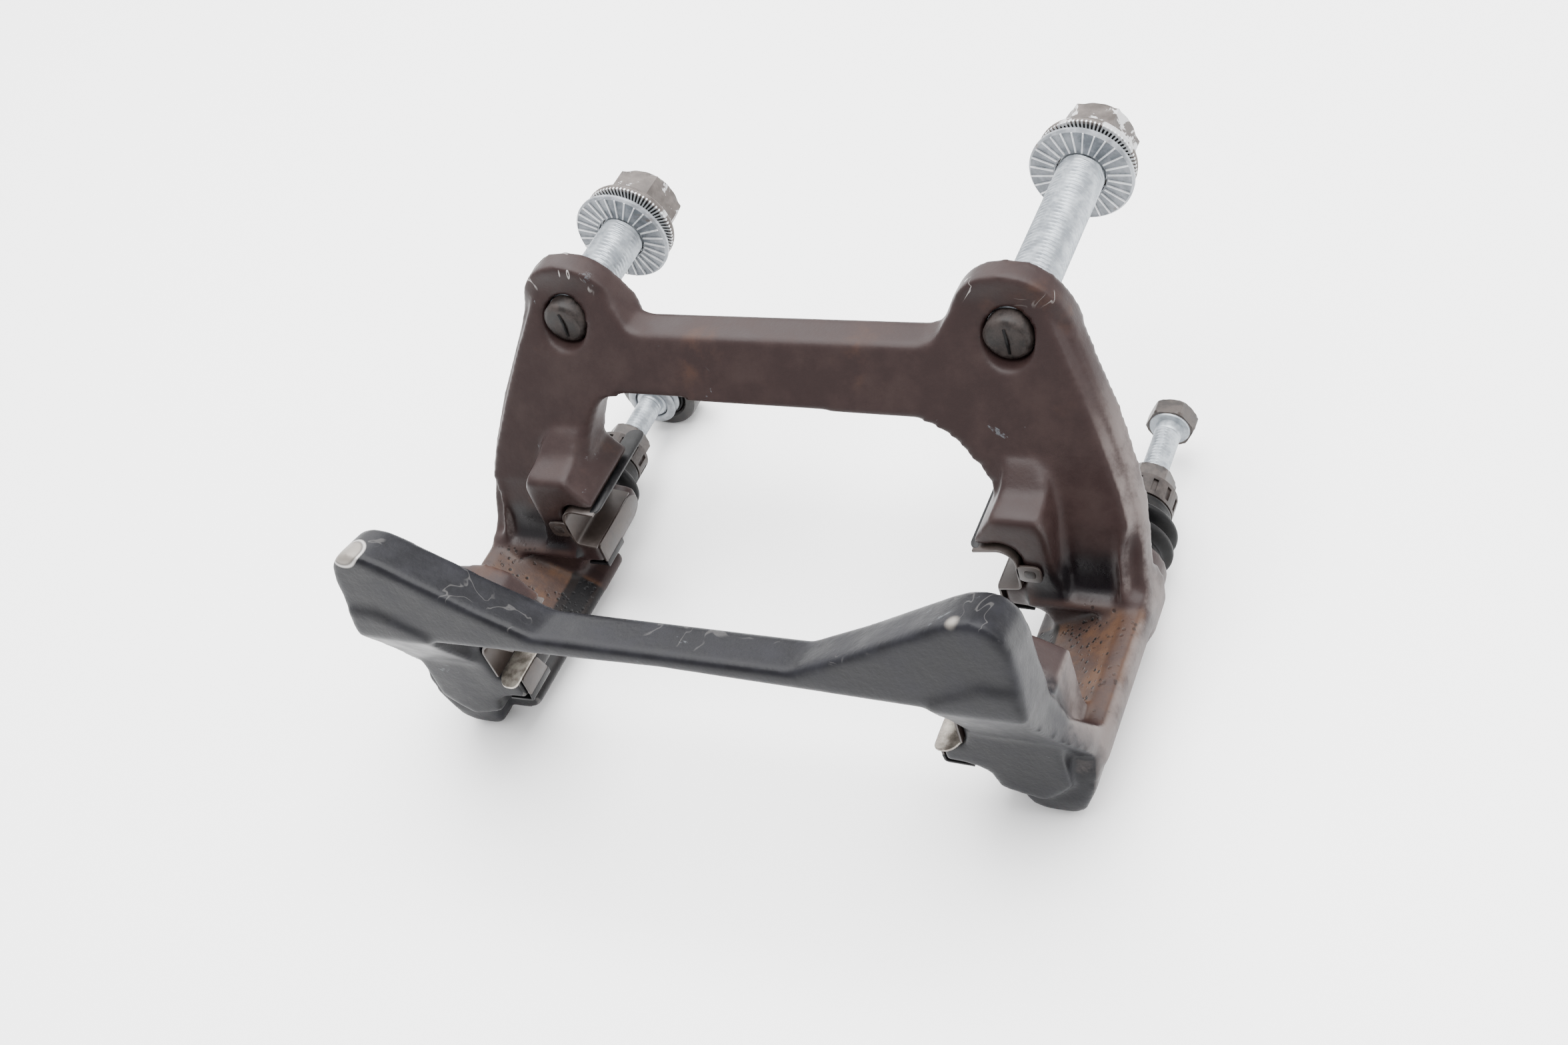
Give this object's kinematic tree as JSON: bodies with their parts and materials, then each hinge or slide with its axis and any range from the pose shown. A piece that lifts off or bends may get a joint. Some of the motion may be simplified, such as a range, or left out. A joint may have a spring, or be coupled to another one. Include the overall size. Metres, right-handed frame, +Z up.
{
  "type": "brake caliper bracket",
  "caption": "Cast-iron disc brake caliper bracket with pad clips, flanged mounting bolts, ribbed washers, sliding guide pins, rubber boots and a damped guide bolt.",
  "frame": {"origin": "on the floor, at the middle of the part's box from above", "axes": "+X across the bracket towards its right-hand bolt, +Y inboard along the bolts, +Z up towards the hub's side"},
  "size_m": [0.212, 0.191, 0.1063],
  "materials": {
    "painted_iron": "satin paint over cast iron, worn",
    "clip_steel": "dark stainless strip, worn bright at edges",
    "bolt_zinc": "zinc flake on steel",
    "washer_zinc": "zinc flake on steel",
    "pin_steel": "dull brown-grey steel",
    "rubber": "matte black rubber",
    "crown_plastic": "matte brown-black moulding",
    "weight_steel": "black coated steel, rusty rim"
  },
  "bodies": {
    "carrier": {"carrier_casting": "painted_iron", "inboard_clip_left": "clip_steel", "inboard_clip_right": "clip_steel", "outboard_clip_left": "clip_steel", "outboard_clip_right": "clip_steel", "guide_boot_left": "rubber", "guide_boot_right": "rubber", "boot_ring_left": "pin_steel", "boot_ring_right": "pin_steel"},
    "mounting_bolt_left": {"mounting_bolt_left": "bolt_zinc"},
    "mounting_bolt_right": {"mounting_bolt_right": "bolt_zinc"},
    "washer_left": {"ribbed_washer_left": "washer_zinc"},
    "washer_right": {"ribbed_washer_right": "washer_zinc"},
    "guide_pin_left": {"guide_pin_left": "pin_steel", "pin_bush_left": "rubber", "boot_crown_left": "crown_plastic"},
    "guide_pin_right": {"guide_pin_right": "pin_steel", "boot_crown_right": "crown_plastic"},
    "guide_bolt_left": {"guide_bolt_left": "bolt_zinc"},
    "guide_bolt_right": {"guide_bolt_right": "bolt_zinc"},
    "damper": {"damper_collar_left": "washer_zinc", "damper_rubber_left": "rubber", "damper_weight_left": "weight_steel"}
  },
  "joints": [
    {"name": "mounting_bolt_left_travel", "type": "slide", "parent": "carrier", "child": "mounting_bolt_left", "axis": [0, 1, 0], "range_m": [-0.025, 0.012]},
    {"name": "mounting_bolt_right_travel", "type": "slide", "parent": "carrier", "child": "mounting_bolt_right", "axis": [0, 1, 0], "range_m": [-0.05, 0.012]},
    {"name": "washer_left_slide", "type": "slide", "parent": "mounting_bolt_left", "child": "washer_left", "axis": [0, 1, 0], "range_m": [-0.001, 0.0034]},
    {"name": "washer_right_slide", "type": "slide", "parent": "mounting_bolt_right", "child": "washer_right", "axis": [0, 1, 0], "range_m": [-0.001, 0.0034]},
    {"name": "guide_pin_left_slide", "type": "slide", "parent": "carrier", "child": "guide_pin_left", "axis": [0, 1, 0], "range_m": [-0.008, 0.01], "deforming": ["guide_boot_left"]},
    {"name": "guide_pin_right_slide", "type": "slide", "parent": "carrier", "child": "guide_pin_right", "axis": [0, 1, 0], "range_m": [-0.008, 0.01], "deforming": ["guide_boot_right"]},
    {"name": "guide_bolt_left_travel", "type": "slide", "parent": "guide_pin_left", "child": "guide_bolt_left", "axis": [0, 1, 0], "range_m": [-0.011, 0.01]},
    {"name": "guide_bolt_right_travel", "type": "slide", "parent": "guide_pin_right", "child": "guide_bolt_right", "axis": [0, 1, 0], "range_m": [-0.011, 0.01]},
    {"name": "damper_twist", "type": "hinge", "parent": "guide_bolt_left", "child": "damper", "pos_m": [-0.0893, 0.0584, 0.014], "axis": [0, 1, 0], "range_deg": [-5, 5], "stiffness_Nm_per_rad": 4}
  ]
}
